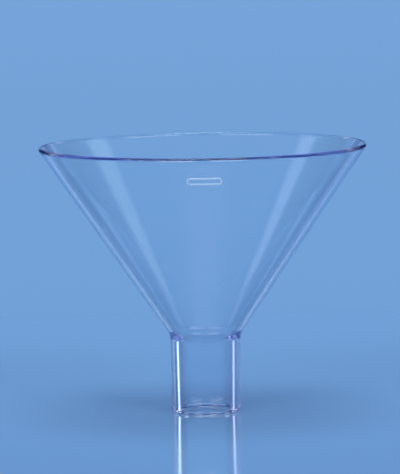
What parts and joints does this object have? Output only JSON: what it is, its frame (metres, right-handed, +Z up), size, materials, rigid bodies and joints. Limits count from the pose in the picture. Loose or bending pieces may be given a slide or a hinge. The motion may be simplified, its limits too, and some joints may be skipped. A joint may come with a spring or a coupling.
{
  "type": "powder funnel",
  "caption": "Wide conical glass funnel with a fire-polished rim, a short heavy-walled stem and a plain enamel marking.",
  "frame": {"origin": "centre of the foot, on the surface the funnel stands on", "axes": "+Z up along the funnel's axis, towards the mouth; -Y faces the enamel marking"},
  "size_m": [0.15, 0.15, 0.1226],
  "materials": {
    "glass": "clear, smooth, fire-polished borosilicate",
    "enamel": "fired white ceramic enamel, satin"
  },
  "bodies": {
    "root": {"rim": "glass", "cone": "glass", "neck": "glass", "stem": "glass", "foot": "glass", "enamel_mark": "enamel"}
  },
  "joints": []
}
